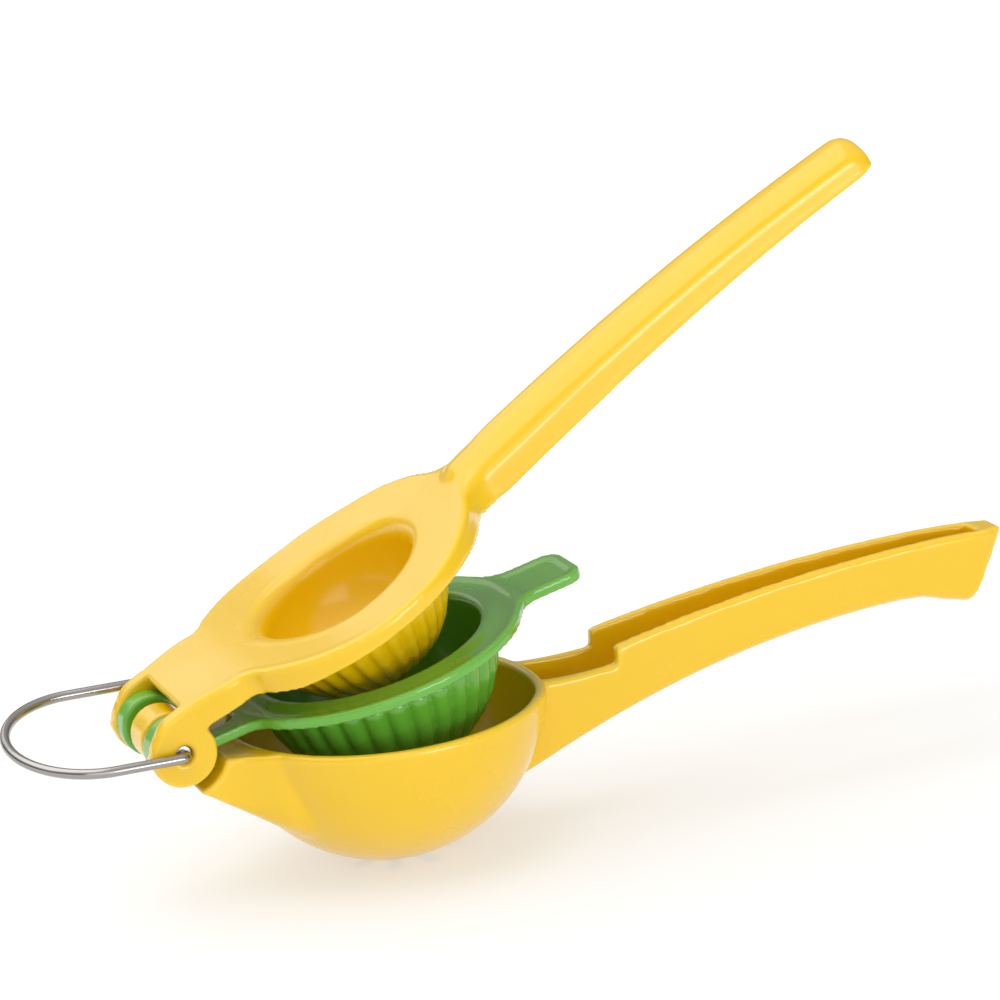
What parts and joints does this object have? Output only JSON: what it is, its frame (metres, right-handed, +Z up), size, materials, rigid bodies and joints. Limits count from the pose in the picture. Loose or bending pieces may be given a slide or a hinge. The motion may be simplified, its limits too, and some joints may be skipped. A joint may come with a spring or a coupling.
{
  "type": "hinged lemon squeezer",
  "caption": "Hand-held citrus press: a fluted dome on the upper arm pushes fruit into a fluted cup inside a bowl on the lower arm, all on one hinge pin.",
  "frame": {"origin": "centre of the bounding box, at the level of the bowl's lowest point, with the arms at their rest angles", "axes": "+X from the hinge to the handle ends, +Y across along the hinge pin, +Z up, square to the lower bowl's rim"},
  "size_m": [0.2473, 0.0758, 0.1472],
  "materials": {
    "yellow_coat": "glossy powder coat on cast aluminium",
    "green_coat": "glossy powder coat on cast aluminium",
    "pin_steel": "ground steel pin",
    "loop_steel": "bright drawn wire"
  },
  "bodies": {
    "lower_arm": {"lower_bowl_arm": "yellow_coat", "hinge_pin": "pin_steel"},
    "cup": {"lime_cup": "green_coat"},
    "press": {"press_arm": "yellow_coat"},
    "loop": {"hanging_loop": "loop_steel"}
  },
  "joints": [
    {"name": "cup_hinge", "type": "hinge", "parent": "lower_arm", "child": "cup", "pos_m": [-0.08682, 0, 0.0391], "axis": [0, -1, 0], "range_deg": [-12, 40]},
    {"name": "press_hinge", "type": "hinge", "parent": "cup", "child": "press", "pos_m": [-0.08682, 0, 0.0391], "axis": [0, -1, 0], "range_deg": [-14.1, 50]},
    {"name": "loop_swing", "type": "hinge", "parent": "press", "child": "loop", "pos_m": [-0.08682, 0, 0.0391], "axis": [0, -1, 0], "range_deg": [-60, 20]}
  ]
}
